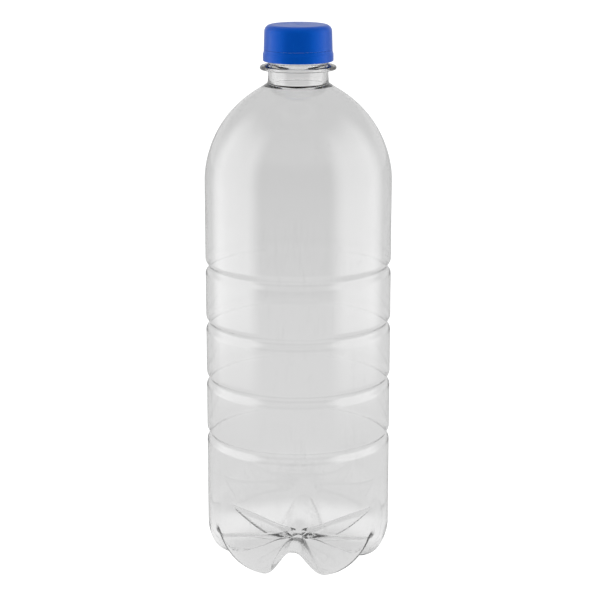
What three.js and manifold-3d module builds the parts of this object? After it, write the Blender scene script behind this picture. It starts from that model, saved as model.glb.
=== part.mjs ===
// A one litre drinks bottle, blown in clear PET, with its blue screw closure.
// Millimetres, +Z up. The bottle's axis is Z and its six feet stand on Z = 0, one of them on +X.
import * as THREE from 'three';
import { mergeVertices } from 'three/addons/utils/BufferGeometryUtils.js';
import Module from 'manifold-3d';

const wasm = await Module();
wasm.setup();

// Body
const BODY_RADIUS = 41;
const WALL = 0.3;              // blown wall
const CENTRE_WALL = 1.4;       // the middle of the base hardly stretches, so it stays thick
const CENTRE_WALL_REACH = 8;   // radius over which that thickness fades
const FACETS = 48;             // round every turned surface

// Ribs: four shallow grooves round the side
const RIB_COUNT = 4;
const RIB_FIRST = 59;
const RIB_PITCH = 25.5;
const RIB_DEPTH = 1.5;
const RIB_HALF_WIDTH = 3.4;

// Base: six feet between six valleys
const FEET = 6;
const BASE_TOP = 36;           // the base is plain round side from here up
const CORNER = 20.1;           // radius that rounds the feet, across the bottle
const CORNER_STRETCH = 0.985;  // the same rounding is this much taller than it is wide
const FLAT_CUT = 2.28;         // how far the stop plate flattens the round feet
const PAD_INNER = 25.2;        // the flat pad on each foot, as radii from the axis
const PAD_OUTER = 28.2;
const INSTEP_START = 26.2;     // radius from which the base rises towards its centre
const INSTEP_SLOPE = 0.37;     // and how steeply
const CENTRE_RISE = 6.9;       // where that rise levels off, before the corners are rounded
const VALLEY_START = 7.47;     // height that a valley's ridge line would have on the axis
const VALLEY_SLOPE = 0.26;     // its rise for each millimetre outward
const VALLEY_BEND = -0.0018;   // and how that rise slackens, for each square millimetre
const VALLEY_FLANK = 1.746;    // steepness of a valley's two sides
const VALLEY_ROUND = 3.14;     // how blunt its ridge is
const VALLEY_CORNER = 3.2;     // radius where its sides turn into the feet

// Shoulder and neck, from the body up
const SHOULDER_START = 173.8;
const SHOULDER_UPRIGHT = 2.9;  // how strongly its curve sets off straight up
const SHOULDER_PULL = new THREE.Vector2(40.4, 199.1);   // what the curve bends towards
const SHOULDER_END = new THREE.Vector2(17.75, 212.9);
const SHOULDER_WALL = 0.2;     // extra wall it has gained where it meets the neck
const NECK_FOOT = new THREE.Vector2(14.7, 214.83);
const NECK_PULL = new THREE.Vector2(13.35, 215.7);
const NECK_RADIUS = 13.1;
const NECK_START = 217;
const RING_UNDER = 221.6;      // underside of the support ring
const RING_RADIUS = 16.5;
const RING_EDGE = 1.5;         // height of its rounded rim
const RING_TOP = 2.35;         // and of its sloping top, where that meets the neck
const FINISH_HEIGHT = 17;      // support ring's underside to the mouth
const MOUTH = RING_UNDER + FINISH_HEIGHT;
const BORE_RADIUS = 10.87;
const SHELF_START = new THREE.Vector2(14.5, 214.36);   // the thick neck ends in an inside shelf
const BORE_START = 215.11;     // the bore is straight from here up
const FINISH_RADIUS = 12.47;   // neck wall between the threads
const BEAD_RADIUS = 14;        // the bead that holds the tamper band down
const BEAD_UNDER = 227.7;
const BEAD_EDGE = 0.5;         // height of its upright rim
const BEAD_SLOPE = 2;          // height at which its top has sloped back to the wall
const MOUTH_EDGE = 0.5;        // chamfer round the mouth

// Thread: right-hand, one start
const PITCH = 2.7;
const NECK_THREAD = { root: FINISH_RADIUS, crest: 13.715, foot: 1.5, tip: 0.7, turns: 650 / 360 };
const NECK_THREAD_START = 231.3;
const CAP_THREAD_START = 231.15;
const CAP_THREAD = { root: 14, crest: 12.8, foot: 1.3, tip: 0.6, turns: 1.5 };
const THREAD_FADE = 0.12;      // share of a thread's length over which each end runs out
const THREAD_STUB = 0.15;      // share of its height left at the very ends
const THREAD_SINK = 0.4;       // how far a thread's root is let into its wall

// Closure
const CAP_TOP = 240.75;
const CAP_UNDER = 239.3;       // underside of its top plate
const CAP_FOOT = 230.15;
const CAP_RADIUS = 14.85;
const CAP_TAPER = 0.25;        // narrower at the top by this much
const CAP_EDGE = 3;            // radius of its top edge
const CAP_BORE = 14;
const LIP_REACH = 1;           // how far the lip under the liner stands in
const LIP_TOP = MOUTH - 0.1;
const LIP_CREST = MOUTH - 0.5;
const LIP_BOTTOM = MOUTH - 1.1;
const LINER_RADIUS = 13.2;
const LINER_BOTTOM = 238.65;
const LINER_THICKNESS = 0.6;
const BAND_FOOT = 225.3;
const BAND_TOP = 230;
const BAND_RADIUS = 15.25;
const BAND_BORE = 14.25;
const BEVEL_START = 228.5;     // the band's flare ends in a bevel that meets the skirt's width
const BEVEL_END = 229.3;
const FLAP_TOP = BEAD_UNDER - 0.35;
const FLAP_RADIUS = FINISH_RADIUS + 0.7;
const FLAP_EDGE = 0.6;         // height of the flap's inner edge
const FLAP_FOLD = 0.7;         // height of the fold above the band's foot

const clearPet = new THREE.MeshStandardMaterial({
  name: 'clear_pet', color: 0xe3e7e8, roughness: 0.08, metalness: 0, transparent: true, opacity: 0.35 });
const bluePolyethylene = new THREE.MeshStandardMaterial({
  name: 'blue_polyethylene', color: 0x0b4fc4, roughness: 0.3, metalness: 0 });
const whiteFoam = new THREE.MeshStandardMaterial({
  name: 'white_seal', color: 0xf1f1ec, roughness: 0.6, metalness: 0 });

const at = (radius, height) => new THREE.Vector2(radius, height);

// ---------------------------------------------------------------- solids

/** A closed geometry as a solid that can be cut and joined. */
function solid(geometry) {
  const bare = geometry.clone();
  bare.deleteAttribute('normal');
  bare.deleteAttribute('uv');
  const joined = mergeVertices(bare, 1e-4);
  return new wasm.Manifold(new wasm.Mesh({
    numProp: 3,
    vertProperties: new Float32Array(joined.attributes.position.array),
    triVerts: new Uint32Array(joined.index.array),
  }));
}

/** The mesh of a solid, as one named sub-part. */
function subPart(name, body, material) {
  const { vertProperties, triVerts } = body.getMesh();
  const geometry = new THREE.BufferGeometry();
  geometry.setAttribute('position', new THREE.BufferAttribute(vertProperties, 3));
  geometry.setIndex(new THREE.BufferAttribute(triVerts, 1));
  geometry.computeVertexNormals();
  const mesh = new THREE.Mesh(geometry, material);
  mesh.name = name;
  return mesh;
}

/** An outline of (radius, height) points turned round the Z axis. */
function turned(outline) {
  const halfFacet = Math.PI / FACETS;
  return new THREE.LatheGeometry(outline, FACETS, halfFacet).rotateX(Math.PI / 2);
}

/** A closed outline is turned with its last point back on its first. */
const turnedRing = (outline) => turned([...outline, outline[0]]);

// ---------------------------------------------------------------- base

const angleTo = (radius) => Math.atan2(radius, BASE_TOP);

/** Angles from straight down, seen from the middle of the base's top, with a pair on the pads. */
function ringAngles() {
  const spread = (from, to, steps) =>
    Array.from({ length: steps }, (_, i) => from + (to - from) * (i + 1) / steps);
  return [0, ...spread(0, angleTo(PAD_INNER), 5), angleTo(PAD_OUTER),
    ...spread(angleTo(PAD_OUTER), Math.PI / 2, 8)];
}

/** The lesser of two clearances, rounded where they are nearly equal. */
function rounded(first, second, radius) {
  return radius - Math.hypot(Math.max(radius - first, 0), Math.max(radius - second, 0));
}

/** How far a point is inside the base's skin of a given wall, less where corners round it off. */
function mouldClearance({ x, y, z }, wall) {
  const radius = Math.hypot(x, y);
  const foot = 2 * Math.PI / FEET;
  const turn = Math.atan2(y, x) - foot / 2;
  const fromValley = turn - foot * Math.round(turn / foot);
  const along = radius * Math.cos(fromValley);
  const across = radius * Math.sin(fromValley);
  const ridge = VALLEY_START + VALLEY_SLOPE * along + VALLEY_BEND * along * along
    - VALLEY_FLANK * (Math.cbrt(Math.abs(across) ** 3 + VALLEY_ROUND ** 3) - VALLEY_ROUND);
  const instep = Math.min(CENTRE_RISE, Math.max(0, INSTEP_SLOPE * (INSTEP_START - radius)));
  const side = BODY_RADIUS - radius - wall;
  const floor = (z + FLAT_CUT - instep - wall) / CORNER_STRETCH;
  const valley = (z - ridge) / Math.hypot(1, VALLEY_FLANK) - wall;
  return Math.min(rounded(rounded(side, floor, CORNER), valley, VALLEY_CORNER), z - wall);
}

/** Distance along a direction from the middle of the base's top to its skin, less the wall. */
function reach(direction, inset) {
  const point = new THREE.Vector3();
  let inside = 0;
  let outside = 2 * BODY_RADIUS;
  for (let i = 0; i < 24; i++) {
    const middle = (inside + outside) / 2;
    point.copy(direction).multiplyScalar(middle);
    point.z += BASE_TOP;
    const spread = Math.hypot(point.x, point.y) / CENTRE_WALL_REACH;
    const wall = inset * (WALL + (CENTRE_WALL - WALL) * Math.exp(-spread * spread));
    if (mouldClearance(point, wall) > 0) inside = middle;
    else outside = middle;
  }
  return inside;
}

/** Blows a round-bottomed blank out to the mould: everything below BASE_TOP moves along its ray. */
function blowBase(geometry, inset) {
  const points = geometry.attributes.position;
  const centre = new THREE.Vector3(0, 0, BASE_TOP);
  const point = new THREE.Vector3();
  for (let i = 0; i < points.count; i++) {
    point.fromBufferAttribute(points, i).sub(centre);
    if (point.z > -1e-3) continue;
    point.normalize();
    point.multiplyScalar(reach(point, inset)).add(centre);
    points.setXYZ(i, point.x, point.y, point.z);
  }
  return geometry;
}

// ---------------------------------------------------------------- bottle

/** The round-bottomed blank below the side. */
function blankBottom(inset) {
  const radius = BODY_RADIUS - inset * WALL;
  return ringAngles().map((angle) => at(radius * Math.sin(angle), BASE_TOP - radius * Math.cos(angle)));
}

function ribbedSide(inset) {
  const points = [];
  for (let rib = 0; rib < RIB_COUNT; rib++) {
    const middle = RIB_FIRST + rib * RIB_PITCH;
    for (const step of [-1, 0, 1]) {
      const radius = BODY_RADIUS - inset * WALL - (step === 0 ? RIB_DEPTH : 0);
      points.push(at(radius, middle + step * RIB_HALF_WIDTH));
    }
  }
  return points;
}

/** The shoulder's curve, moved in along its normals by a wall that thickens towards the neck. */
function shoulder(inset) {
  const curve = new THREE.CubicBezierCurve(at(BODY_RADIUS, SHOULDER_START),
    at(BODY_RADIUS, SHOULDER_START + SHOULDER_UPRIGHT), SHOULDER_PULL, SHOULDER_END);
  const steps = 7;
  return Array.from({ length: steps + 1 }, (_, i) => {
    const share = i / steps;
    const tangent = curve.getTangent(share);
    const wall = inset * (WALL + SHOULDER_WALL * share ** 4);
    return curve.getPoint(share).add(at(-tangent.y, tangent.x).multiplyScalar(wall));
  });
}

/** Outside of the neck: straight neck, support ring, bead, threaded wall and chamfered mouth. */
function neckOutside() {
  const path = new THREE.Path();
  path.moveTo(NECK_FOOT.x, NECK_FOOT.y);
  path.quadraticCurveTo(NECK_PULL.x, NECK_PULL.y, NECK_RADIUS, NECK_START);
  path.lineTo(NECK_RADIUS - 0.1, RING_UNDER);
  path.lineTo(RING_RADIUS - 0.25, RING_UNDER);
  path.quadraticCurveTo(RING_RADIUS, RING_UNDER + RING_EDGE / 2,
    RING_RADIUS - 0.3, RING_UNDER + RING_EDGE);
  path.lineTo(NECK_RADIUS, RING_UNDER + RING_TOP);
  path.lineTo(FINISH_RADIUS + 0.1, RING_UNDER + RING_TOP + 0.45);
  path.lineTo(FINISH_RADIUS + 0.1, BEAD_UNDER);
  path.lineTo(BEAD_RADIUS, BEAD_UNDER);
  path.lineTo(BEAD_RADIUS, BEAD_UNDER + BEAD_EDGE);
  path.lineTo(FINISH_RADIUS, BEAD_UNDER + BEAD_SLOPE);
  path.lineTo(FINISH_RADIUS, MOUTH - MOUTH_EDGE);
  path.lineTo(FINISH_RADIUS - MOUTH_EDGE, MOUTH);
  return path.getPoints(3);
}

function bottle() {
  const skin = turned([...blankBottom(0), ...ribbedSide(0), ...shoulder(0), ...neckOutside(), at(0, MOUTH)]);
  const room = turned([...blankBottom(1), ...ribbedSide(1), ...shoulder(1), SHELF_START,
    at(BORE_RADIUS, BORE_START), at(BORE_RADIUS, MOUTH + 1), at(0, MOUTH + 1)]);
  const thread = helix(NECK_THREAD, NECK_THREAD_START, 0);
  return solid(blowBase(skin, 0)).add(thread).subtract(solid(blowBase(room, 1)));
}

// ---------------------------------------------------------------- threads

/** A thread wound round the Z axis. It starts at a height and angle and climbs anticlockwise. */
function helix({ root, crest, foot, tip, turns }, startHeight, startAngle) {
  const out = Math.sign(crest - root);
  const section = new THREE.Shape([
    at(root - out * THREAD_SINK, -foot / 2), at(crest, -tip / 2),
    at(crest, tip / 2), at(root - out * THREAD_SINK, foot / 2)]);
  const steps = Math.round(turns * FACETS / 2);
  const bar = new THREE.ExtrudeGeometry(section, { depth: 1, steps, bevelEnabled: false });
  const points = bar.attributes.position;
  for (let i = 0; i < points.count; i++) {
    const along = points.getZ(i);
    const fade = Math.min(1, Math.min(along, 1 - along) / THREAD_FADE + THREAD_STUB);
    const height = (points.getX(i) - root) * (points.getX(i) === crest ? fade : 1);
    const angle = startAngle + along * turns * 2 * Math.PI;
    points.setXYZ(i, (root + height) * Math.cos(angle), (root + height) * Math.sin(angle),
      startHeight + along * turns * PITCH + points.getY(i));
  }
  const body = solid(bar);
  return body.volume() > 0 ? body : solid(flipped(bar));
}

/** Where the cap's thread starts, so that it runs half a pitch below the neck's. */
const capThreadAngle = () =>
  2 * Math.PI * (CAP_THREAD_START - NECK_THREAD_START + PITCH / 2) / PITCH;

/** The same surface with its faces turned over. */
function flipped(geometry) {
  const points = geometry.attributes.position;
  for (let i = 0; i < points.count; i += 3) {
    const held = [points.getX(i), points.getY(i), points.getZ(i)];
    points.setXYZ(i, points.getX(i + 1), points.getY(i + 1), points.getZ(i + 1));
    points.setXYZ(i + 1, ...held);
  }
  return geometry;
}

// ---------------------------------------------------------------- closure

/** Cap: top plate with a rounded edge, a tapered skirt, a lip that keeps the liner in, a thread. */
function cap() {
  const path = new THREE.Path();
  const rim = CAP_RADIUS - CAP_TAPER;
  path.moveTo(0, CAP_UNDER);
  path.lineTo(CAP_BORE, CAP_UNDER);
  path.lineTo(CAP_BORE, LIP_TOP);
  path.lineTo(CAP_BORE - LIP_REACH, LIP_CREST);
  path.lineTo(CAP_BORE, LIP_BOTTOM);
  path.lineTo(CAP_BORE, CAP_FOOT);
  path.lineTo(CAP_RADIUS, CAP_FOOT);
  path.lineTo(rim, CAP_TOP - CAP_EDGE);
  path.absarc(rim - CAP_EDGE, CAP_TOP - CAP_EDGE, CAP_EDGE, 0, Math.PI / 2, false);
  path.lineTo(0, CAP_TOP);
  return solid(turned(path.getPoints(4))).add(helix(CAP_THREAD, CAP_THREAD_START, capThreadAngle()));
}

/** Seal disc, loose between the cap's top plate and its lip. */
function capLiner() {
  const top = LINER_BOTTOM + LINER_THICKNESS;
  return solid(turned([at(0, LINER_BOTTOM), at(LINER_RADIUS, LINER_BOTTOM),
    at(LINER_RADIUS, top), at(0, top)]));
}

/** Tamper band, torn from the cap: a flared ring whose folded-in flap catches under the bead. */
function tamperBand() {
  return solid(turnedRing([
    at(BAND_RADIUS, BAND_FOOT), at(BAND_RADIUS, BEVEL_START),
    at(CAP_RADIUS, BEVEL_END), at(CAP_RADIUS, BAND_TOP),
    at(BAND_BORE, BAND_TOP), at(BAND_BORE, FLAP_TOP - 0.2),
    at(FLAP_RADIUS, FLAP_TOP), at(FLAP_RADIUS, FLAP_TOP - FLAP_EDGE),
    at(BAND_BORE, BAND_FOOT + FLAP_FOLD), at(BAND_BORE + 0.1, BAND_FOOT)]));
}

const object = new THREE.Group();
object.add(
  subPart('bottle', bottle(), clearPet),
  subPart('cap', cap(), bluePolyethylene),
  subPart('tamper_band', tamperBand(), bluePolyethylene),
  subPart('cap_liner', capLiner(), whiteFoam));

export default object;
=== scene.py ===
"""A one litre bottle blown in clear PET, with its blue screw cap, torn tamper band and seal disc.

Every piece is turned round the bottle's axis from a profile, in metres, +Z up.
The feet stand on Z = 0, and the front of the bottle faces -Y.
"""

import math

import bmesh
import bpy
import numpy as np
from bpy.props import FloatProperty, FloatVectorProperty, IntProperty, PointerProperty
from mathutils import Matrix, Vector


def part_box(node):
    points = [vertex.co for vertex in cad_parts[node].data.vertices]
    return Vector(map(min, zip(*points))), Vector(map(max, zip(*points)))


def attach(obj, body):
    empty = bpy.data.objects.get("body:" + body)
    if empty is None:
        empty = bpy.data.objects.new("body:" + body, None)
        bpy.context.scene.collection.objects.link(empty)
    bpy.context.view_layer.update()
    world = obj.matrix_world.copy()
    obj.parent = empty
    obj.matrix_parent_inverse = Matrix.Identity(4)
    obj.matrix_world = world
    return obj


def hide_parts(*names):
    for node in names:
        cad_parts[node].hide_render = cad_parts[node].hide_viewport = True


bl_info = {
    "name": "Blown Drinks Bottle",
    "version": (1, 0, 0),
    "blender": (4, 5, 0),
    "location": "3D View > Sidebar > Bottle",
    "description": "Builds a clear blown bottle with its screw closure and a small studio",
    "category": "Object",
}

MM = 0.001
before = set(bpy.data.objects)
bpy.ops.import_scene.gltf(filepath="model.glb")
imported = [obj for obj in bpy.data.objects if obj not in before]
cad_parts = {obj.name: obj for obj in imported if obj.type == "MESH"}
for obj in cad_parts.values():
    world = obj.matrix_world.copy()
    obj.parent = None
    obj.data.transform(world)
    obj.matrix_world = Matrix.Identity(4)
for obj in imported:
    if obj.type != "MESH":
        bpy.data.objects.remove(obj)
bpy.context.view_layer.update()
BOTTLE_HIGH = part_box("bottle")[1]
CAP_LOW, CAP_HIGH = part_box("cap")
BAND_LOW, BAND_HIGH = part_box("tamper_band")
LINER_LOW, LINER_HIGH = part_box("cap_liner")


# ---------------------------------------------------------------- sizes and colours


def length(name, description, default):
    """A size in metres that the sidebar shows with its unit."""
    return FloatProperty(name=name, description=description, default=default, precision=5,
                         subtype="DISTANCE", unit="LENGTH")


def colour(name, description, default):
    return FloatVectorProperty(name=name, description=description, default=default, size=3,
                               min=0.0, max=1.0, subtype="COLOR")


def amount(name, description, default):
    return FloatProperty(name=name, description=description, default=default, min=0.0)


class BottleSizes(bpy.types.PropertyGroup):
    """The blown body."""

    radius: length("Radius", "Outside radius of the straight side", BOTTLE_HIGH[0])
    mouth: length("Mouth", "Height of the mouth above the floor", BOTTLE_HIGH[2])
    wall: length("Wall", "Thickness of the blown wall", 0.3 * MM)
    rib_first: length("First rib", "Height of the lowest groove", 59 * MM)
    rib_pitch: length("Rib pitch", "Distance between grooves", 25.5 * MM)
    rib_depth: length("Rib depth", "Depth of each groove", 1.5 * MM)
    rib_reach: length("Rib reach", "Half the height of each groove", 3.4 * MM)
    rib_count: IntProperty(name="Ribs", description="Number of grooves", default=4, min=0)
    feet: IntProperty(name="Feet", description="Feet of the base", default=6, min=3)
    ripple: length("Ripple", "Height of the side's faint unevenness", 0.045 * MM)
    around: IntProperty(name="Steps round", default=144,
                        description="Steps round the side; the base has twice as many")


class ClosureSizes(bpy.types.PropertyGroup):
    """The cap, the band under it and the seal inside it."""

    cap_radius: length("Cap radius", "Radius at the foot of the skirt", CAP_HIGH[0])
    cap_taper: length("Cap taper", "How much narrower the skirt is at its top", 0.25 * MM)
    cap_edge: length("Cap edge", "Radius of the top edge", 3 * MM)
    band_radius: length("Band radius", "Radius of the band's flared foot", BAND_HIGH[0])
    nibs: IntProperty(name="Torn nibs", description="Stubs of the torn bridges", default=12)
    around: IntProperty(name="Steps round", description="Steps round the closure", default=192)


class Finishes(bpy.types.PropertyGroup):
    """Colours and how worn the surfaces are."""

    pet: colour("PET", "Tint of the clear plastic", (0.985, 0.985, 0.985))
    closure: colour("Closure", "Blue of the cap and band", (0.0008, 0.048, 0.3))
    closure_pale: colour("Closure, paler", "Blue where the plastic is thin", (0.0015, 0.065, 0.37))
    # Painted shade: a dim colour that the cap and band show only to rays through the clear plastic, in
    # place of their blue
    closure_painted_shade: colour("Closure, through PET", "Its dim look through clear plastic",
                            (0.05, 0.042, 0.024))
    seal: colour("Seal", "White of the seal disc", (0.86, 0.86, 0.83))
    wear: amount("Wear", "Strength of the handling marks", 1.0)


class Studio(bpy.types.PropertyGroup):
    """Floor, lights and camera."""

    floor: colour("Floor", "Colour of the floor", (0.93, 0.93, 0.93))
    # Painted shade: a darker floor colour for gloss and the clear plastic; the camera and matt surfaces
    # see the pale one
    floor_shade_in_gloss: colour("Floor in gloss", "Its colour where the bottle shows it", (0.52, 0.52, 0.52))
    camera_distance: length("Camera distance", "Along the floor, from the axis", 802 * MM)
    camera_height: length("Camera height", "Above the floor", 319.2 * MM)
    camera_turn: FloatProperty(name="Camera turn", description="Round from the front", unit="ROTATION",
                               subtype="ANGLE", default=math.radians(3.75))
    camera_tilt: FloatProperty(name="Camera tilt", description="Below level", unit="ROTATION",
                               subtype="ANGLE", default=math.radians(14.0))
    overhead: FloatProperty(name="Overhead", description="Overhead light", unit="POWER", default=3.0)
    side: FloatProperty(name="Sides", description="Each side light", unit="POWER", default=5.0)


# ---------------------------------------------------------------- profiles


def line(start, end, steps):
    """Points from start, left out, to end."""
    share = np.linspace(0, 1, steps + 1)[1:, None]
    return np.array(start) * (1 - share) + np.array(end) * share


def curve(start, pull, end, steps):
    """A bend from start, left out, to end, pulled towards a middle point."""
    t = np.linspace(0, 1, steps + 1)[1:, None]
    return (1 - t) ** 2 * np.array(start) + 2 * t * (1 - t) * np.array(pull) + t * t * np.array(end)


def cubic(a, b, c, d, steps):
    """A cubic curve from a to d, both kept."""
    t = np.linspace(0, 1, steps + 1)[:, None]
    a, b, c, d = map(np.array, (a, b, c, d))
    return (1 - t) ** 3 * a + 3 * t * (1 - t) ** 2 * b + 3 * t * t * (1 - t) * c + t ** 3 * d


def rounded(corners, steps=4):
    """An outline through (radius, height, rounding) corners in mm, as points in metres."""
    places = [np.array(corner[:2], float) for corner in corners]
    points = [places[0]]
    for before, here, after, corner in zip(places, places[1:], places[2:], corners[1:-1]):
        rounding = corner[2]
        if rounding == 0:
            points.append(here)
            continue
        to_before = (before - here) / np.linalg.norm(before - here)
        to_after = (after - here) / np.linalg.norm(after - here)
        start = here + to_before * rounding
        points.append(start)
        points.extend(curve(start, here, here + to_after * rounding, steps))
    points.append(places[-1])
    return np.array(points) * MM


def smooth_step(value):
    value = np.clip(value, 0, 1)
    return value * value * (3 - 2 * value)


def turn(profile, around):
    """Rings of points: a (radius, height) profile turned round the axis."""
    angle = 2 * math.pi * np.arange(around) / around
    radius, height = np.array(profile).T
    rings = np.empty((len(radius), around, 3))
    rings[..., 0] = radius[:, None] * np.cos(angle)
    rings[..., 1] = radius[:, None] * np.sin(angle)
    rings[..., 2] = height[:, None]
    return rings


def skin(name, rings, ring_shaped=False):
    """A closed mesh over rings of points. It ends in a pole at each end, or joins up ring-shaped.
    A ring may have twice the points of the one beside it."""
    counts = [len(ring) for ring in rings]
    starts = np.concatenate([[0], np.cumsum(counts)]).tolist()
    faces = []
    for row in range(len(rings) if ring_shaped else len(rings) - 1):
        pair = (row, (row + 1) % len(rings))
        around = min(counts[k] for k in pair)
        for i in range(around):
            low, high = ([starts[k] + j % counts[k]
                          for j in range(i * counts[k] // around, (i + 1) * counts[k] // around + 1)]
                         for k in pair)
            faces.append(low + high[::-1])
    mesh = bpy.data.meshes.new(name)
    mesh.from_pydata(np.concatenate(rings).tolist(), [], faces)
    work = bmesh.new()
    work.from_mesh(mesh)
    bmesh.ops.remove_doubles(work, verts=work.verts, dist=1e-7)
    bmesh.ops.recalc_face_normals(work, faces=work.faces)
    for face in work.faces:
        face.smooth = True
    work.to_mesh(mesh)
    work.free()
    piece = bpy.data.objects.new(name, mesh)
    bpy.context.collection.objects.link(piece)
    return piece


# ---------------------------------------------------------------- base of the bottle

BASE_TOP = 36 * MM         # the side is plain and round from here up
CORNER = 20.1 * MM         # radius that rounds the feet
CORNER_STRETCH = 0.985
FLAT_CUT = 2.28 * MM       # how far the stop plate flattens the round feet
INSTEP_START = 26.2 * MM   # radius from which the base rises towards its centre
INSTEP_SLOPE = 0.37
CENTRE_RISE = 6.9 * MM
VALLEY_START = 7.47 * MM   # ridge line of a valley: its height on the axis, its rise and its bend
VALLEY_SLOPE = 0.26
VALLEY_BEND = -0.0018 / MM
VALLEY_FLANK = 1.746
VALLEY_ROUND = 3.14 * MM
VALLEY_CORNER = 3.2 * MM   # radius where a valley's sides turn into the feet
CENTRE_WALL = 1.4 * MM     # the middle hardly stretches, so it stays thick
CENTRE_WALL_REACH = 8 * MM
GATE_RADIUS = 1.9 * MM     # nub left where the plastic entered the preform's mould
GATE_DROP = 0.9 * MM
GATE_SLOPE = 0.35          # share of the nub's radius that its side takes up
BASE_STEPS = 80            # rings from the centre of the base to BASE_TOP
BASE_SPREAD = 0.9          # below 1 the rings lie closer together towards BASE_TOP
HALVINGS = 30              # how often the search for the skin halves its span


def lesser(first, second, radius):
    """The lesser of two clearances, rounded where they are nearly equal."""
    return radius - np.hypot(np.maximum(radius - first, 0), np.maximum(radius - second, 0))


def base_clearance(place, wall, sizes):
    """How far places are inside the base's skin of a given wall, less where corners round it off."""
    x, y, z = place
    radius = np.hypot(x, y)
    foot = 2 * math.pi / sizes.feet
    angle = np.arctan2(y, x) - foot / 2
    from_valley = angle - foot * np.round(angle / foot)
    along = radius * np.cos(from_valley)
    across = np.abs(radius * np.sin(from_valley))
    ridge = (VALLEY_START + VALLEY_SLOPE * along + VALLEY_BEND * along * along
             - VALLEY_FLANK * (np.cbrt(across ** 3 + VALLEY_ROUND ** 3) - VALLEY_ROUND))
    instep = np.clip(INSTEP_SLOPE * (INSTEP_START - radius), 0, CENTRE_RISE)
    side = sizes.radius - radius - wall
    floor = (z + FLAT_CUT - instep - wall) / CORNER_STRETCH
    valley = (z - ridge) / math.hypot(1, VALLEY_FLANK) - wall
    return np.minimum(lesser(lesser(side, floor, CORNER), valley, VALLEY_CORNER), z - wall)


def base_rings(sizes, inset):
    """The base's skin as rings, from its centre out and up to BASE_TOP. inset 1 is the inside."""
    around = 2 * sizes.around
    angle = 2 * math.pi * np.arange(around) / around
    down = (np.linspace(0, 1, BASE_STEPS) ** BASE_SPREAD)[:, None] * math.pi / 2
    direction = np.stack([np.sin(down) * np.cos(angle), np.sin(down) * np.sin(angle),
                          -np.cos(down) + 0 * angle])
    inside = np.zeros(direction.shape[1:])
    outside = np.full(direction.shape[1:], 2 * sizes.radius)
    for _ in range(HALVINGS):
        middle = (inside + outside) / 2
        place = direction * middle
        place[2] += BASE_TOP
        fade = np.exp(-(np.hypot(place[0], place[1]) / CENTRE_WALL_REACH) ** 2)
        wall = inset * (sizes.wall + (CENTRE_WALL - sizes.wall) * fade)
        within = base_clearance(place, wall, sizes) > 0
        inside = np.where(within, middle, inside)
        outside = np.where(within, outside, middle)
    rings = np.moveaxis(direction * inside, 0, -1)
    rings[..., 2] += BASE_TOP
    if inset == 0:
        radius = np.hypot(rings[..., 0], rings[..., 1])
        rings[..., 2] -= GATE_DROP * smooth_step((GATE_RADIUS - radius) / (GATE_SLOPE * GATE_RADIUS))
    return rings


# ---------------------------------------------------------------- body and neck

SIDE_STEP = 3.4 * MM        # between rings of the plain side
GROOVE_STEPS = 13           # rings across each groove
GROOVE_SPAN = 1.1           # they reach this much past the groove, as a share of its reach,
GROOVE_MARGIN = 1.3         # and plain rings keep this far away
SHOULDER_START = 173.8 * MM
SHOULDER_UPRIGHT = 2.9 * MM  # how strongly its curve sets off straight up
SHOULDER_PULL = 199.1 * MM   # height that the curve bends towards, and how far in
SHOULDER_PULL_IN = 0.6 * MM
SHOULDER_END = (17.75 * MM, 212.9 * MM)
SHOULDER_STEPS = 34
SHOULDER_WALL = 0.2 * MM    # extra wall that the shoulder has gained where it meets the neck

# Neck, in millimetres like its profile
SHELF_RADIUS = 14.5         # the thick unblown neck ends in a shelf inside
SHELF_HEIGHT = 214.36
SHELF_RISE = 0.75           # its rise towards the bore
BORE_RADIUS = 10.87
BORE_START = 219.5          # the bore is straight from here up
FINISH_RADIUS = 12.47       # wall between the threads
BEAD_UNDER = 227.7          # bead that holds the tamper band down
RING_UNDER = 221.6          # support ring
WALL_STEPS = 44             # rings up a threaded wall

THREAD_PITCH = 2.7 * MM
NECK_THREAD = {"start": 231.3 * MM, "angle": 0.0, "turns": 650 / 360, "height": 1.245 * MM,
               "foot": 1.55 * MM, "tip": 0.7 * MM}
CAP_THREAD_START = 231.15 * MM
CAP_THREAD = {"start": CAP_THREAD_START, "turns": 1.5, "height": 1.2 * MM,
              "foot": 1.35 * MM, "tip": 0.6 * MM,
              "angle": 2 * math.pi * ((CAP_THREAD_START - NECK_THREAD["start"]) / THREAD_PITCH + 0.5)}
THREAD_FADE = 0.35          # in turns
VENTS = 4                   # upright gaps that let the gas out as the cap is turned
VENT_HALF_ANGLE = math.radians(9)
VENT_GAP = 0.6              # share of that over which a vent is cut right down

# Unevenness of the blown side: strength, waves round the bottle, height per radian of twist, phase
RIPPLE_WAVES = ((1.0, 3, 13 * MM, 0.0), (0.7, 5, -9.5 * MM, 1.3), (0.6, 8, 21 * MM, 4.1),
                (0.4, 2, -5.3 * MM, 2.2))
RIPPLE_START = 30 * MM
RIPPLE_FADE_IN = 14 * MM
RIPPLE_END = 206 * MM
RIPPLE_FADE_OUT = 20 * MM
LEAST_RADIUS = 0.001 * MM   # keeps points on the axis from being divided by nothing


def ribbed_side(sizes, inset):
    """(radius, height) points of the straight side and its grooves, above BASE_TOP."""
    plain = np.arange(BASE_TOP + 2 * MM, SHOULDER_START, SIDE_STEP)
    middles = sizes.rib_first + sizes.rib_pitch * np.arange(sizes.rib_count)
    across = np.linspace(-GROOVE_SPAN, GROOVE_SPAN, GROOVE_STEPS)
    grooves = (middles[:, None] + across * sizes.rib_reach).ravel()
    clear = np.min(np.abs(plain[:, None] - middles), axis=1) > GROOVE_MARGIN * sizes.rib_reach
    height = np.sort(np.concatenate([plain[clear], grooves]))
    near = np.clip((height[:, None] - middles) / sizes.rib_reach, -1, 1)
    dip = sizes.rib_depth * (np.cos(near * math.pi / 2) ** 2).sum(axis=1)
    return np.stack([sizes.radius - inset * sizes.wall - dip, height], axis=1)


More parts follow.
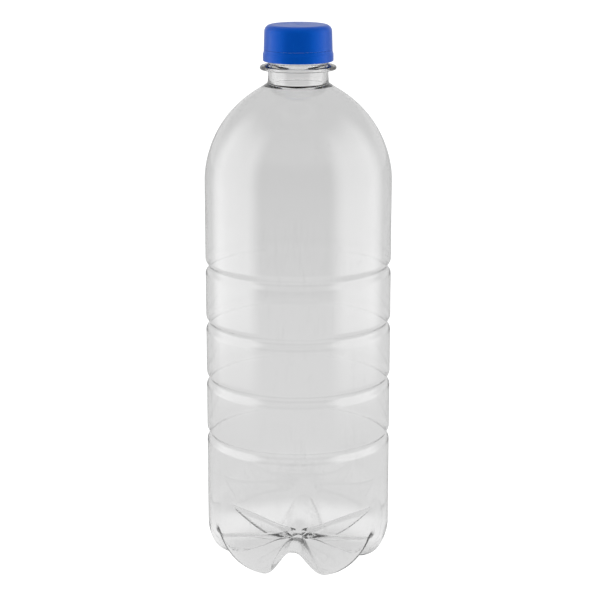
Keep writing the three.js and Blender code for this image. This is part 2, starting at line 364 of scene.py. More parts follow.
def shoulder(sizes, inset):
    """The shoulder's curve, moved in along its normals by a wall that thickens upwards."""
    points = cubic((sizes.radius, SHOULDER_START), (sizes.radius, SHOULDER_START + SHOULDER_UPRIGHT),
                   (sizes.radius - SHOULDER_PULL_IN, SHOULDER_PULL), SHOULDER_END, SHOULDER_STEPS)
    tangent = np.gradient(points, axis=0)
    tangent /= np.linalg.norm(tangent, axis=1)[:, None]
    wall = inset * (sizes.wall + SHOULDER_WALL * np.linspace(0, 1, len(points)) ** 4)
    return points + np.stack([-tangent[:, 1], tangent[:, 0]], axis=1) * wall[:, None]


def neck_outside(mouth):
    """Neck, support ring, bead, threaded wall and mouth, in millimetres: radius, height, rounding."""
    return rounded([
        (16.9, 213.43, 0), (13.25, 215.75, 0.9), (13.05, 218.2, 0), (13.0, RING_UNDER, 0.4),
        (16.55, RING_UNDER + 0.1, 0.55), (16.5, RING_UNDER + 1.45, 0.5), (13.2, RING_UNDER + 2.45, 0.5),
        (12.6, RING_UNDER + 3.1, 0.4), (12.6, BEAD_UNDER, 0.25), (14.0, BEAD_UNDER + 0.1, 0.3),
        (14.0, BEAD_UNDER + 0.75, 0.3), (FINISH_RADIUS, BEAD_UNDER + 2.2, 0.5),
        (FINISH_RADIUS, mouth - 0.1, 0)])


def threaded_wall(mouth):
    """Fine steps up the threaded wall, then the rounded mouth and the way down the bore."""
    wall = line((FINISH_RADIUS * MM, (BEAD_UNDER + 2.8) * MM),
                (FINISH_RADIUS * MM, (mouth - 0.8) * MM), WALL_STEPS)
    lip = rounded([
        (FINISH_RADIUS, mouth - 0.7, 0), (FINISH_RADIUS - 0.1, mouth, 0.45), (BORE_RADIUS, mouth, 0.5),
        (BORE_RADIUS, 230, 0), (BORE_RADIUS, 224, 0), (BORE_RADIUS, BORE_START, 0)])
    return np.concatenate([wall, lip])


def thread_height(angle, height, thread, vents=0):
    """How far a thread stands out of its wall at an angle and height."""
    stands = np.zeros(np.broadcast(angle, height).shape)
    for lap in range(int(thread["turns"]) + 2):
        turned = (angle - thread["angle"]) % (2 * math.pi) / (2 * math.pi) + lap
        off = np.abs(height - thread["start"] - THREAD_PITCH * turned)
        flank = (thread["foot"] - thread["tip"]) / 2
        rise = smooth_step((thread["foot"] / 2 - off) / flank)
        ends = np.minimum(turned, thread["turns"] - turned) / THREAD_FADE
        stands = np.maximum(stands, thread["height"] * rise * smooth_step(ends))
    if vents:
        gap = 2 * math.pi / vents
        from_vent = np.abs((angle - gap / 2) % gap - gap / 2)
        stands = stands * smooth_step(from_vent / VENT_HALF_ANGLE - VENT_GAP)
    return stands


def wind_thread(rings, low, high, thread, side, vents=0):
    """Moves the points of a wall out (side 1) or in (side -1) to form its thread."""
    angle = np.arctan2(rings[..., 1], rings[..., 0])
    height = rings[..., 2]
    radius = np.hypot(rings[..., 0], rings[..., 1])
    wall = (height > low) & (height < high)
    stands = np.where(wall, side * thread_height(angle, height, thread, vents), 0)
    share = 1 + stands / np.maximum(radius, LEAST_RADIUS)
    rings[..., 0] *= share
    rings[..., 1] *= share


def ripple(rings, sizes):
    """Faint unevenness of a blown side, the same on its inside and outside. It only draws the side in."""
    angle = np.arctan2(rings[..., 1], rings[..., 0])
    z = rings[..., 2]
    body = (smooth_step((z - RIPPLE_START) / RIPPLE_FADE_IN)
            * smooth_step((RIPPLE_END - z) / RIPPLE_FADE_OUT))
    wave = sum(strength * np.sin(lobes * angle + z / twist + phase)
               for strength, lobes, twist, phase in RIPPLE_WAVES)
    most = sum(strength for strength, *_ in RIPPLE_WAVES)
    radius = np.hypot(rings[..., 0], rings[..., 1])
    share = 1 + sizes.ripple * body * (wave - most) / most / np.maximum(radius, LEAST_RADIUS)
    rings[..., 0] *= share
    rings[..., 1] *= share


def blow_bottle(sizes):
    """One closed skin: up the outside to the mouth, over it, and down the inside."""
    mouth = sizes.mouth / MM
    outside = np.concatenate([ribbed_side(sizes, 0), shoulder(sizes, 0), neck_outside(mouth)[:-1]])
    inner_side = np.concatenate([ribbed_side(sizes, 1), shoulder(sizes, 1)])
    inner_neck = rounded([(*(inner_side[-1] / MM), 0), (SHELF_RADIUS, SHELF_HEIGHT, 0.2),
                          (BORE_RADIUS, SHELF_HEIGHT + SHELF_RISE, 0.15), (BORE_RADIUS, BORE_START, 0)])
    inside = np.concatenate([inner_side[:-1], inner_neck[:-1]])
    upper = turn(np.concatenate([outside, threaded_wall(mouth)]), sizes.around)
    wind_thread(upper, (BEAD_UNDER + 2.5) * MM, (mouth - 0.9) * MM, NECK_THREAD, 1, VENTS)
    parts = (base_rings(sizes, 0), upper, turn(inside[::-1], sizes.around), base_rings(sizes, 1)[::-1])
    for part in parts:
        ripple(part, sizes)
    return skin("blown_bottle", [ring for part in parts for ring in part])


# ---------------------------------------------------------------- closure

# Cap and band, in millimetres like their profiles
CAP_PLATE = 1.45            # thickness of the cap's top
CAP_BORE = 14.0
CAP_ROUND = 0.42            # how far along each side the top edge's curve is pulled
CAP_ROUND_STEPS = 14
BAND_BORE = 14.25
BAND_GAP = 0.06             # torn slit between the band and the cap
FLAP_RADIUS = 13.2          # inner edge of the flap that grips under the bead
FLAP_CLEARANCE = 0.35       # between that flap and the bead

NIB_INSET = 0.7 * MM        # the nibs stand this far inside the band's foot
NIB_DROP = 0.12 * MM        # and start this far below the cap
# Lower and upper end of a nib: lift, half width, half depth
NIB_ENDS = ((0, 0.38 * MM, 0.22 * MM), (0.1 * MM, 0.26 * MM, 0.13 * MM))


def mould_cap(sizes):
    """Cap: up the inside of the skirt, round the foot and over the top."""
    low, high = CAP_LOW[2] / MM, CAP_HIGH[2] / MM
    radius, taper = sizes.cap_radius / MM, sizes.cap_taper / MM
    edge = sizes.cap_edge / MM
    under = high - CAP_PLATE
    inside = rounded([
        (0, under, 0), (CAP_BORE - 0.1, under, 0.2), (CAP_BORE, under - 0.8, 0),
        (13.05, under - 1.15, 0.25), (CAP_BORE, under - 1.9, 0.2), (CAP_BORE, under - 2.5, 0)])
    wall = line((CAP_BORE * MM, (under - 2.5) * MM), (CAP_BORE * MM, (low + 0.35) * MM), WALL_STEPS)
    outside = rounded([(CAP_BORE, low + 0.3, 0), (CAP_BORE + 0.05, low, 0.2), (radius, low, 0.08),
                       (radius - 0.02, low + 0.5, 0), (radius - taper, high - edge, 0)])
    top_edge = cubic((radius - taper, high - edge), (radius - taper, high - CAP_ROUND * edge),
                     (radius - taper - CAP_ROUND * edge, high), (radius - taper - edge, high),
                     CAP_ROUND_STEPS)[1:] * MM
    top = rounded([
        (radius - taper - edge - 0.1, high, 0), (11.0, high - 0.01, 0), (9.8, high - 0.045, 1.0),
        (6.0, high - 0.06, 0), (0.6, high - 0.065, 0), (0.4, high - 0.11, 0.1), (0, high - 0.11, 0)])
    rings = turn(np.concatenate([inside, wall, outside, top_edge, top]), sizes.around)
    inner = np.hypot(rings[..., 0], rings[..., 1]) < (CAP_BORE + 0.02) * MM
    threaded = rings.copy()
    wind_thread(threaded, low * MM + 0.3 * MM, (under - 2.4) * MM, CAP_THREAD, -1)
    rings[inner] = threaded[inner]
    return skin("screw_cap", rings)


def torn_nibs(sizes):
    """Stubs of the bridges that joined the band to the cap, left on the band's top edge."""
    work = bmesh.new()
    for i in range(sizes.nibs):
        angle = 2 * math.pi * (i + 0.5) / sizes.nibs
        out = Vector((math.cos(angle), math.sin(angle), 0))
        round_way = Vector((out.y, -out.x, 0))
        foot = out * (BAND_HIGH[0] - NIB_INSET) + Vector((0, 0, CAP_LOW[2] - NIB_DROP))
        corners = []
        for lift, half, half_deep in NIB_ENDS:
            for a, b in ((-1, -1), (1, -1), (1, 1), (-1, 1)):
                place = foot + round_way * a * half + out * b * half_deep
                corners.append(work.verts.new(place + Vector((0, 0, lift))))
        low, high = corners[:4], corners[4:]
        work.faces.new(low[::-1])
        work.faces.new(high)
        for k in range(4):
            work.faces.new((low[k], low[(k + 1) % 4], high[(k + 1) % 4], high[k]))
    mesh = bpy.data.meshes.new("torn_nibs")
    work.to_mesh(mesh)
    work.free()
    piece = bpy.data.objects.new("torn_nibs", mesh)
    bpy.context.collection.objects.link(piece)
    return piece


def mould_band(sizes):
    """Tamper band with its folded-in flap, turned as a ring."""
    low, high = BAND_LOW[2] / MM, CAP_LOW[2] / MM - BAND_GAP
    foot, top = sizes.band_radius / MM, CAP_HIGH[0] / MM
    flap = BEAD_UNDER - FLAP_CLEARANCE
    corners = [
        (BAND_BORE + 0.1, low, 0.1), (foot - 0.06, low, 0.14), (foot, low + 0.5, 0),
        (foot - 0.03, high - 1.7, 0.25), (top, high - 0.75, 0.25), (top - 0.01, high, 0.05),
        (BAND_BORE, high, 0.1), (BAND_BORE, flap - 0.2, 0.2), (FLAP_RADIUS, flap, 0.15),
        (FLAP_RADIUS + 0.05, flap - 0.6, 0.15), (BAND_BORE, low + 0.7, 0.2)]
    outline = rounded([corners[-1], *corners, corners[0]])[1:-1]
    return skin("tamper_ring", turn(outline, sizes.around), ring_shaped=True)


def cut_liner(sizes):
    """Seal disc, with the ring that the mouth has pressed into its underside."""
    low, high, radius = LINER_LOW[2] / MM, LINER_HIGH[2] / MM, LINER_HIGH[0] / MM
    outline = rounded([
        (0, low, 0), (10.6, low, 0), (11.0, low + 0.12, 0.15), (12.3, low + 0.12, 0.15), (12.6, low, 0.1),
        (radius, low, 0.15), (radius, high, 0.15), (0, high, 0)])
    return skin("seal_disc", turn(outline, sizes.around))


# ---------------------------------------------------------------- node building

# Sockets of a Mix node, by number because its values and colours share their names
FIRST_VALUE, SECOND_VALUE, BLENDED_VALUE = 2, 3, 0
FIRST_COLOUR, SECOND_COLOUR, BLENDED_COLOUR = 6, 7, 2


def add(tree, kind, inputs=None, **settings):
    """A new node. Each input is given a value, or the socket that feeds it."""
    node = tree.nodes.new(kind)
    for name, value in settings.items():
        setattr(node, name, value)
    for socket, value in (inputs or {}).items():
        if isinstance(value, bpy.types.NodeSocket):
            tree.links.new(value, node.inputs[socket])
        else:
            node.inputs[socket].default_value = value
    return node


def maths(tree, operation, first, second=0.0):
    return add(tree, "ShaderNodeMath", {0: first, 1: second}, operation=operation).outputs[0]


def ramp(tree, value, low, high, to_low=0.0, to_high=1.0, smooth=True):
    """A value mapped from low..high to to_low..to_high, and held beyond."""
    node = add(tree, "ShaderNodeMapRange", {"Value": value, "From Min": low, "From Max": high,
                                            "To Min": to_low, "To Max": to_high},
               interpolation_type="SMOOTHSTEP" if smooth else "LINEAR")
    return node.outputs["Result"]


def blend(tree, share, first, second):
    """A value between two, by share."""
    node = add(tree, "ShaderNodeMix", {"Factor": share, FIRST_VALUE: first, SECOND_VALUE: second})
    return node.outputs[BLENDED_VALUE]


def tint(tree, share, first, second):
    """A colour between two, by share. Each is a colour, or the socket that gives one."""
    first, second = (given if isinstance(given, bpy.types.NodeSocket) else (*given, 1)
                     for given in (first, second))
    node = add(tree, "ShaderNodeMix", {"Factor": share, FIRST_COLOUR: first, SECOND_COLOUR: second},
               data_type="RGBA")
    return node.outputs[BLENDED_COLOUR]


def new_group(name, inputs, outputs):
    """An empty node group with named number sockets. Returns its tree and its input and output nodes."""
    group = bpy.data.node_groups.new(name, "ShaderNodeTree")
    for label, default, description in inputs:
        socket = group.interface.new_socket(label, in_out="INPUT", socket_type="NodeSocketFloat")
        socket.default_value = default
        socket.description = description
    for label, description in outputs:
        socket = group.interface.new_socket(label, in_out="OUTPUT", socket_type="NodeSocketFloat")
        socket.description = description
    return group, group.nodes.new("NodeGroupInput").outputs, group.nodes.new("NodeGroupOutput")


SCRATCH_STRETCH = 0.12      # below 1 the scratches run long
SCRATCH_LEVEL = 0.57        # scratches follow the line where the noise has this value


def handling_marks():
    """Hairline scratches and dull rubbed patches, as two masks."""
    name = "Handling marks"
    if name in bpy.data.node_groups:
        return bpy.data.node_groups[name]
    tree, given, out = new_group(
        name,
        [("Scratch size", 260.0, "Scratches per metre, roughly"),
         ("Rub size", 38.0, "Rubbed patches per metre"),
         ("Wear", 1.0, "How worn the surface is")],
        [("Scratches", "1 along each hairline scratch"), ("Rubbed", "1 where the surface is dulled")])
    place = tree.nodes.new("ShaderNodeTexCoord").outputs["Object"]
    lines = []
    for tilt, offset in ((0.5, 0.0), (-0.9, 3.1)):
        turned = add(tree, "ShaderNodeMapping", {
            "Vector": place, "Location": (offset, offset, 0), "Rotation": (tilt, 0.3 * tilt, tilt),
            "Scale": (1, 1, SCRATCH_STRETCH)})
        noise = add(tree, "ShaderNodeTexNoise", {
            "Vector": turned.outputs[0], "Scale": given["Scratch size"], "Detail": 1.0,
            "Distortion": 0.2})
        off = maths(tree, "ABSOLUTE", maths(tree, "SUBTRACT", noise.outputs[0], SCRATCH_LEVEL))
        lines.append(ramp(tree, off, 0.002, 0.009, 1.0, 0.0))
    patches = add(tree, "ShaderNodeTexNoise", {
        "Vector": place, "Scale": given["Rub size"], "Detail": 4.0, "Roughness": 0.6}).outputs[0]
    rubbed = ramp(tree, patches, 0.52, 0.72)
    sparse = ramp(tree, patches, 0.45, 0.6)
    scratches = maths(tree, "MULTIPLY", maths(tree, "MAXIMUM", *lines), sparse)
    tree.links.new(maths(tree, "MULTIPLY", scratches, given["Wear"]), out.inputs["Scratches"])
    tree.links.new(maths(tree, "MULTIPLY", rubbed, given["Wear"]), out.inputs["Rubbed"])
    return tree


def moulded_skin():
    """The slight unevenness of a moulded plastic surface, as a height in metres."""
    name = "Moulded skin"
    if name in bpy.data.node_groups:
        return bpy.data.node_groups[name]
    tree, given, out = new_group(
        name,
        [("Wave size", 45.0, "Waves per metre"),
         ("Wave height", 0.02 * MM, "Height of the waves in metres"),
         ("Grain size", 1500.0, "Grain per metre"),
         ("Grain height", 0.001 * MM, "Height of the grain in metres")],
        [("Height", "Height of the surface in metres")])
    place = tree.nodes.new("ShaderNodeTexCoord").outputs["Object"]
    heights = []
    for size, height, detail in (("Wave size", "Wave height", 1.0), ("Grain size", "Grain height", 3.0)):
        noise = add(tree, "ShaderNodeTexNoise", {"Vector": place, "Scale": given[size], "Detail": detail})
        heights.append(maths(tree, "MULTIPLY", noise.outputs[0], given[height]))
    tree.links.new(maths(tree, "ADD", *heights), out.inputs["Height"])
    return tree


def grouped(tree, group, **inputs):
    """A node group placed in a material, with its inputs set by name. Underscores stand for spaces."""
    node = add(tree, "ShaderNodeGroup", node_tree=group)
    for name, value in inputs.items():
        node.inputs[name.replace("_", " ")].default_value = value
    return node.outputs


def new_material(name):
    """A material with only a Principled shader. Returns it, its tree, the shader and the output."""
    material = bpy.data.materials.new(name)
    material.use_nodes = True
    tree = material.node_tree
    tree.nodes.clear()
    shader = tree.nodes.new("ShaderNodeBsdfPrincipled")
    output = tree.nodes.new("ShaderNodeOutputMaterial")
    tree.links.new(shader.outputs[0], output.inputs["Surface"])
    return material, tree, shader, output


def bump(tree, shader, height, strength=1.0):
    node = add(tree, "ShaderNodeBump", {"Height": height, "Distance": 1.0, "Strength": strength})
    tree.links.new(node.outputs[0], shader.inputs["Normal"])


# ---------------------------------------------------------------- finishes

PARTING_REACH = 0.28 * MM   # half the width of the mould's parting line
PARTING_HEIGHT = 0.035 * MM


def clear_pet(finishes):
    """Clear stretched PET: glossy, faintly uneven, with a parting line on each side and a rubbed foot."""
    material, tree, shader, output = new_material("clear_pet_blown")
    shader.inputs["Transmission Weight"].default_value = 1.0
    shader.inputs["IOR"].default_value = 1.57
    marks = grouped(tree, handling_marks(), Wear=finishes.wear)
    skin_height = grouped(tree, moulded_skin(), Wave_height=0.03 * MM, Grain_height=0.0)["Height"]
    place = add(tree, "ShaderNodeSeparateXYZ",
                {0: tree.nodes.new("ShaderNodeTexCoord").outputs["Object"]}).outputs
    base = ramp(tree, place["Z"], 4 * MM, 16 * MM, 1.0, 0.0)
    worn = maths(tree, "MAXIMUM", marks["Scratches"], maths(tree, "MULTIPLY", marks["Rubbed"], base))
    tree.links.new(ramp(tree, worn, 0, 1, 0.012, 0.16, smooth=False), shader.inputs["Roughness"])
    tree.links.new(tint(tree, maths(tree, "MULTIPLY", worn, 0.6), finishes.pet,
                        [0.9 * part for part in finishes.pet]), shader.inputs["Base Color"])
    seam = ramp(tree, maths(tree, "ABSOLUTE", place["Y"]), 0.05 * MM, PARTING_REACH, PARTING_HEIGHT, 0.0)
    bump(tree, shader, maths(tree, "ADD", skin_height, seam))
    path = tree.nodes.new("ShaderNodeLightPath").outputs
    clear = add(tree, "ShaderNodeBsdfTransparent", {"Color": (0.97, 0.97, 0.97, 1)})
    mixed = add(tree, "ShaderNodeMixShader", {0: maths(tree, "MAXIMUM", path["Is Shadow Ray"],
                                                       path["Is Diffuse Ray"])})
    tree.links.new(shader.outputs[0], mixed.inputs[1])
    tree.links.new(clear.outputs[0], mixed.inputs[2])
    tree.links.new(mixed.outputs[0], output.inputs["Surface"])
    return material


def blue_closure(finishes):
    """Blue moulded polyethylene with a soft gloss, paler where it is thin and finely scratched; seen
    through clear PET it is painted a dim shade.
    """
    material, tree, shader, _ = new_material("blue_moulded")
    shader.inputs["IOR"].default_value = 1.52
    shader.inputs["Specular IOR Level"].default_value = 0.36
    shader.inputs["Specular Tint"].default_value = (0.01, 0.24, 1.0, 1)
    shader.inputs["Subsurface Weight"].default_value = 0.12
    shader.inputs["Subsurface Radius"].default_value = (0.2, 0.5, 1.0)
    shader.inputs["Subsurface Scale"].default_value = 1.2 * MM
    marks = grouped(tree, handling_marks(), Scratch_size=420.0, Rub_size=120.0, Wear=0.8 * finishes.wear)
    height = grouped(tree, moulded_skin(), Wave_size=120.0, Wave_height=0.012 * MM, Grain_size=4200.0,
                     Grain_height=0.0009 * MM)["Height"]
    place = tree.nodes.new("ShaderNodeTexCoord").outputs["Object"]
    flow = add(tree, "ShaderNodeTexNoise", {"Vector": place, "Scale": 90.0, "Detail": 2.0}).outputs[0]
    worn = maths(tree, "ADD", maths(tree, "MULTIPLY", marks["Scratches"], 0.5),
                 maths(tree, "MULTIPLY", flow, 0.5))
    plain = tint(tree, worn, finishes.closure, finishes.closure_pale)
    path = tree.nodes.new("ShaderNodeLightPath").outputs
    # Painted shade: rays that come through the clear plastic see the dim colour instead of the blue
    tree.links.new(tint(tree, path["Is Transmission Ray"], plain, finishes.closure_painted_shade),
                   shader.inputs["Base Color"])
    rough = maths(tree, "ADD", maths(tree, "MULTIPLY", marks["Rubbed"], 0.12),
                  maths(tree, "MULTIPLY", marks["Scratches"], 0.2))
    tree.links.new(maths(tree, "ADD", rough, 0.3), shader.inputs["Roughness"])
    bump(tree, shader, height)
    return material


def foam_seal(finishes):
    """White seal disc with a soft, faintly pored face."""
    material, tree, shader, _ = new_material("white_seal")
    shader.inputs["IOR"].default_value = 1.45
    place = tree.nodes.new("ShaderNodeTexCoord").outputs["Object"]
    pores = add(tree, "ShaderNodeTexVoronoi", {"Vector": place, "Scale": 2600.0}).outputs["Distance"]
    tree.links.new(tint(tree, pores, finishes.seal, [0.9 * part for part in finishes.seal]),
                   shader.inputs["Base Color"])
    tree.links.new(ramp(tree, pores, 0, 1, 0.5, 0.7), shader.inputs["Roughness"])
    height = grouped(tree, moulded_skin(), Wave_size=200.0, Wave_height=0.02 * MM)["Height"]
    bump(tree, shader, maths(tree, "ADD", height, maths(tree, "MULTIPLY", pores, 0.01 * MM)))
    return material


# ---------------------------------------------------------------- stage

# Metres, and strengths of light
FLOOR_REACH = 9.0           # half the floor's width
# The floor's glow is painted light in place of lamps: brightest beside the bottle, fading out to
# FLOOR_FALL
FLOOR_FALL = 1.6            # distance over which the floor's light falls off
FLOOR_NEAR = 1.35           # its light beside the bottle
FLOOR_FAR = 1.17            # its light from FLOOR_FALL outwards
FLOOR_DIRECT = 1.3          # the least of it that the camera sees
WORLD_IN_GLOSS = 0.75       # the room's walls in gloss
WORLD_DIRECT = 1.25         # the room as the camera sees it
SIDE_CARD_RADIUS = 0.2
SIDE_CARD_HEIGHTS = (0.0, 0.095, 0.24, 0.48)
SIDE_CARD_GLOW = 3.1
BOUNCES = 20                # a ray crosses the clear walls many times

SENSOR_WIDTH = 36           # in mm, like the focal length
FOCAL_LENGTH = 111.84
SIDE_SHIFT = 0.003          # share of the frame


def pale_floor(studio):
    """Pale floor that glows with its own light, painted brighter beside the bottle. Gloss and the clear
    plastic see it painted darker, save for a painted ring of light round the bottle's foot.
    """
    material, tree, shader, _ = new_material("pale_floor")
    place = tree.nodes.new("ShaderNodeTexCoord").outputs["Object"]
    mottle = add(tree, "ShaderNodeTexNoise", {"Vector": place, "Scale": 3.0}).outputs[0]
    distance = add(tree, "ShaderNodeVectorMath", {0: place}, operation="LENGTH").outputs["Value"]
    path = tree.nodes.new("ShaderNodeLightPath").outputs
    direct = maths(tree, "MAXIMUM", path["Is Camera Ray"], path["Is Diffuse Ray"])
    # Painted light: a ring round the bottle, strongest 45 to 52 mm from its axis and gone by 75 mm, where
    # gloss and the clear plastic see the floor brighter
    near = maths(tree, "MULTIPLY", ramp(tree, distance, 0.025, 0.045, 0.0, 0.35),
                 ramp(tree, distance, 0.052, 0.075, 1.0, 0.0))
    share = maths(tree, "SUBTRACT", maths(tree, "MAXIMUM", direct, near),
                  maths(tree, "MULTIPLY", mottle, 0.02))
    # Painted light: the glow falls from FLOOR_NEAR beside the bottle to FLOOR_FAR, as lamp light would;
    # the camera sees at least FLOOR_DIRECT
    painted_floor_light = maths(tree, "MAXIMUM", ramp(tree, distance, 0.0, FLOOR_FALL, FLOOR_NEAR, FLOOR_FAR),
                maths(tree, "MULTIPLY", path["Is Camera Ray"], FLOOR_DIRECT))
    shader.inputs["Base Color"].default_value = (0, 0, 0, 1)
    shader.inputs["Specular IOR Level"].default_value = 0.0
    # Camera and matt rays get the pale floor; gloss and the clear plastic get the painted darker shade
    tree.links.new(tint(tree, share, studio.floor_shade_in_gloss, studio.floor), shader.inputs["Emission Color"])
    tree.links.new(painted_floor_light, shader.inputs["Emission Strength"])
    material.cycles.emission_sampling = "NONE"
    return material


def sheet(name, corners):
    """A flat or bent sheet through rows of corners, with its own 0 to 1 measure both ways."""
    work = bmesh.new()
    rows = [[work.verts.new(place) for place in row] for row in corners]
    measure = work.loops.layers.uv.new("across")
    for j in range(len(rows) - 1):
        for i in range(len(rows[0]) - 1):
            spots = ((i, j), (i + 1, j), (i + 1, j + 1), (i, j + 1))
            face = work.faces.new([rows[b][a] for a, b in spots])
            for loop, (a, b) in zip(face.loops, spots):
                loop[measure].uv = (a / (len(rows[0]) - 1), b / (len(rows) - 1))
    mesh = bpy.data.meshes.new(name)
    work.to_mesh(mesh)
    work.free()
    piece = bpy.data.objects.new(name, mesh)
    bpy.context.collection.objects.link(piece)
    return piece


def light_card(name, card_radius, angles, heights, glow):
    """A bent card round the bottle that only reflections see. Its angles are in degrees from the front.
    Angles and heights: where it starts to show, where it is full, where it starts to fade, its end."""
    around = np.radians(np.linspace(angles[0], angles[3], 17))
    rows = [[(card_radius * math.sin(a), -card_radius * math.cos(a), height) for a in around]
            for height in np.linspace(heights[0], heights[3], 5)]
    card = sheet(name, rows)
    material, tree, shader, output = new_material(name)
    tree.nodes.remove(shader)
    across = add(tree, "ShaderNodeSeparateXYZ",
                 {0: tree.nodes.new("ShaderNodeTexCoord").outputs["UV"]}).outputs
    fades = []
    for axis, marks in (("X", angles), ("Y", heights)):
        full, fading = ((mark - marks[0]) / (marks[3] - marks[0]) for mark in marks[1:3])
        fades += [ramp(tree, across[axis], 0.0, full), ramp(tree, across[axis], fading, 1.0, 1.0, 0.0)]
    mask = maths(tree, "MULTIPLY", maths(tree, "MULTIPLY", fades[0], fades[1]),
                 maths(tree, "MULTIPLY", fades[2], fades[3]))
    mixed = add(tree, "ShaderNodeMixShader", {0: mask})
    tree.links.new(tree.nodes.new("ShaderNodeBsdfTransparent").outputs[0], mixed.inputs[1])
    emission = add(tree, "ShaderNodeEmission", {"Strength": glow})
    tree.links.new(emission.outputs[0], mixed.inputs[2])
    tree.links.new(mixed.outputs[0], output.inputs["Surface"])
    card.data.materials.append(material)
    card.visible_camera = card.visible_diffuse = card.visible_transmission = card.visible_shadow = False


def studio_world():
    """White to the camera and matt surfaces. Gloss and clear plastic see a dim room, lighter above."""
    world = bpy.data.worlds.new("studio")
    world.use_nodes = True
    tree = world.node_tree
    tree.nodes.clear()
    direction = add(tree, "ShaderNodeSeparateXYZ",
                    {0: tree.nodes.new("ShaderNodeTexCoord").outputs["Generated"]}).outputs
    path = tree.nodes.new("ShaderNodeLightPath").outputs
    through = maths(tree, "ADD", ramp(tree, direction["Z"], 0.02, 0.25, 0.7, 0.06),
                    ramp(tree, direction["Z"], 0.8, 0.95, 0.0, 1.0))
    low_back = maths(tree, "MULTIPLY", ramp(tree, direction["Y"], 0.2, 0.8),
                     ramp(tree, direction["Z"], 0.15, 0.35, 0.22, 0.0))
    seen = blend(tree, path["Is Glossy Ray"], through, maths(tree, "ADD", low_back, WORLD_IN_GLOSS))
    seen = blend(tree, path["Is Diffuse Ray"], seen, ramp(tree, direction["Z"], -0.1, 0.8, 0.78, 1.5))
    seen = blend(tree, path["Is Camera Ray"], seen, WORLD_DIRECT)
    background = add(tree, "ShaderNodeBackground", {"Strength": seen})
    output = tree.nodes.new("ShaderNodeOutputWorld")
    tree.links.new(background.outputs[0], output.inputs["Surface"])
    bpy.context.scene.world = world


def area_light(name, place, aim, size, power):
    lamp = bpy.data.lights.new(name, "AREA")
    lamp.shape = "RECTANGLE"
    lamp.size, lamp.size_y = size
    lamp.energy = power
    light = bpy.data.objects.new(name, lamp)
    light.location = place
    light.rotation_euler = (Vector(aim) - Vector(place)).to_track_quat("-Z", "Y").to_euler()
    light.visible_camera = light.visible_glossy = light.visible_transmission = False
    bpy.context.collection.objects.link(light)


def set_camera(studio):
    camera = bpy.data.cameras.new("camera")
    camera.sensor_width = SENSOR_WIDTH
    camera.lens = FOCAL_LENGTH
    camera.shift_x = SIDE_SHIFT
    view = bpy.data.objects.new("camera", camera)
    view.location = (studio.camera_distance * math.sin(studio.camera_turn),
                     -studio.camera_distance * math.cos(studio.camera_turn), studio.camera_height)
    view.rotation_euler = (math.pi / 2 - studio.camera_tilt, 0, studio.camera_turn)
    bpy.context.collection.objects.link(view)
    bpy.context.scene.camera = view


# ---------------------------------------------------------------- operators


def dress(piece, material, body):
    piece.data.materials.clear()
    piece.data.materials.append(material)
    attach(piece, body)


class BOTTLE_OT_blow(bpy.types.Operator):
    """Blow the clear bottle with its grooves, feet and threaded neck"""

    bl_idname = "bottle.blow"
    bl_label = "Blow Bottle"

    def execute(self, context):
        piece = blow_bottle(context.scene.bottle_sizes)
        dress(piece, clear_pet(context.scene.bottle_finishes), "bottle")
        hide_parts("bottle")
        return {"FINISHED"}


class BOTTLE_OT_mould_closure(bpy.types.Operator):
    """Mould the screw cap and the torn tamper band"""

    bl_idname = "bottle.mould_closure"
    bl_label = "Mould Cap and Band"

    def execute(self, context):
        sizes = context.scene.closure_sizes
        blue = blue_closure(context.scene.bottle_finishes)
        cap = mould_cap(sizes)
        dress(cap, blue, "cap")
        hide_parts("cap")
        band = mould_band(sizes)
        dress(band, blue, "band")
        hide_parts("tamper_band")
        dress(torn_nibs(sizes), blue, "band")
        return {"FINISHED"}


class BOTTLE_OT_cut_liner(bpy.types.Operator):
    """Cut the white seal disc that lies under the cap's top"""

    bl_idname = "bottle.cut_liner"
    bl_label = "Cut Seal Disc"

    def execute(self, context):
        piece = cut_liner(context.scene.closure_sizes)
        dress(piece, foam_seal(context.scene.bottle_finishes), "liner")
        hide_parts("cap_liner")
        return {"FINISHED"}


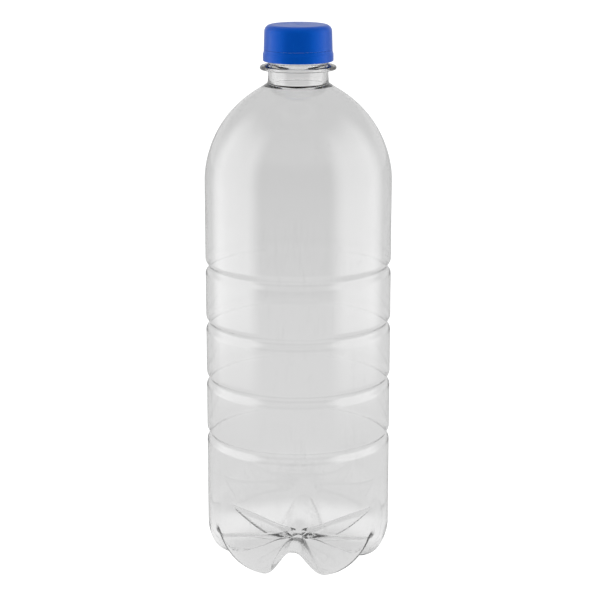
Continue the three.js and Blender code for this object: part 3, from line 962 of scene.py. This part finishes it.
class BOTTLE_OT_set_stage(bpy.types.Operator):
    """Lay the pale floor and set the soft studio lights and the camera"""

    bl_idname = "bottle.set_stage"
    bl_label = "Set Stage"

    def execute(self, context):
        studio = context.scene.bottle_studio
        edges = (-FLOOR_REACH, FLOOR_REACH)
        floor = sheet("floor", [[(x, y, 0) for x in edges] for y in edges])
        floor.data.materials.append(pale_floor(studio))
        for name, angles in (("left_card", (-122, -94, -57, -35)), ("right_card", (36, 60, 95, 124))):
            light_card(name, SIDE_CARD_RADIUS, angles, SIDE_CARD_HEIGHTS, SIDE_CARD_GLOW)
        light_card("front_card", 0.55, (-54, -43, 43, 54), (-0.1, 0.1, 0.3, 0.5), 0.03)
        studio_world()
        area_light("overhead", (0, 0.1, 1.6), (0, 0, 0.1), (1.6, 1.6), studio.overhead)
        area_light("left_side", (-1.1, -0.1, 0.5), (0, 0, 0.15), (0.5, 1.0), studio.side)
        area_light("right_side", (1.1, -0.1, 0.5), (0, 0, 0.15), (0.5, 1.0), studio.side)
        set_camera(studio)
        context.scene.view_settings.view_transform = "Standard"
        context.scene.cycles.transparent_max_bounces = 24
        context.scene.cycles.max_bounces = BOUNCES
        context.scene.cycles.transmission_bounces = BOUNCES
        return {"FINISHED"}


class BOTTLE_PT_make(bpy.types.Panel):
    """Sizes, finishes and the steps that build the bottle"""

    bl_idname = "BOTTLE_PT_make"
    bl_label = "Blown Bottle"
    bl_space_type = "VIEW_3D"
    bl_region_type = "UI"
    bl_category = "Bottle"

    def draw(self, context):
        layout = self.layout
        for step in STEPS:
            layout.operator(step.bl_idname)
        for settings in SETTINGS:
            box = layout.box()
            for name in SETTINGS[settings].__annotations__:
                box.prop(getattr(context.scene, settings), name)


SETTINGS = {"bottle_sizes": BottleSizes, "closure_sizes": ClosureSizes, "bottle_finishes": Finishes,
            "bottle_studio": Studio}
STEPS = (BOTTLE_OT_blow, BOTTLE_OT_mould_closure, BOTTLE_OT_cut_liner, BOTTLE_OT_set_stage)


def register():
    for name, group in SETTINGS.items():
        bpy.utils.register_class(group)
        setattr(bpy.types.Scene, name, PointerProperty(type=group))
    for cls in (*STEPS, BOTTLE_PT_make):
        bpy.utils.register_class(cls)


def unregister():
    for cls in (BOTTLE_PT_make, *reversed(STEPS)):
        bpy.utils.unregister_class(cls)
    for name, group in SETTINGS.items():
        delattr(bpy.types.Scene, name)
        bpy.utils.unregister_class(group)


def main():
    register()
    bpy.ops.bottle.blow()
    bpy.ops.bottle.mould_closure()
    bpy.ops.bottle.cut_liner()
    bpy.ops.bottle.set_stage()


if __name__ == "__main__":
    main()
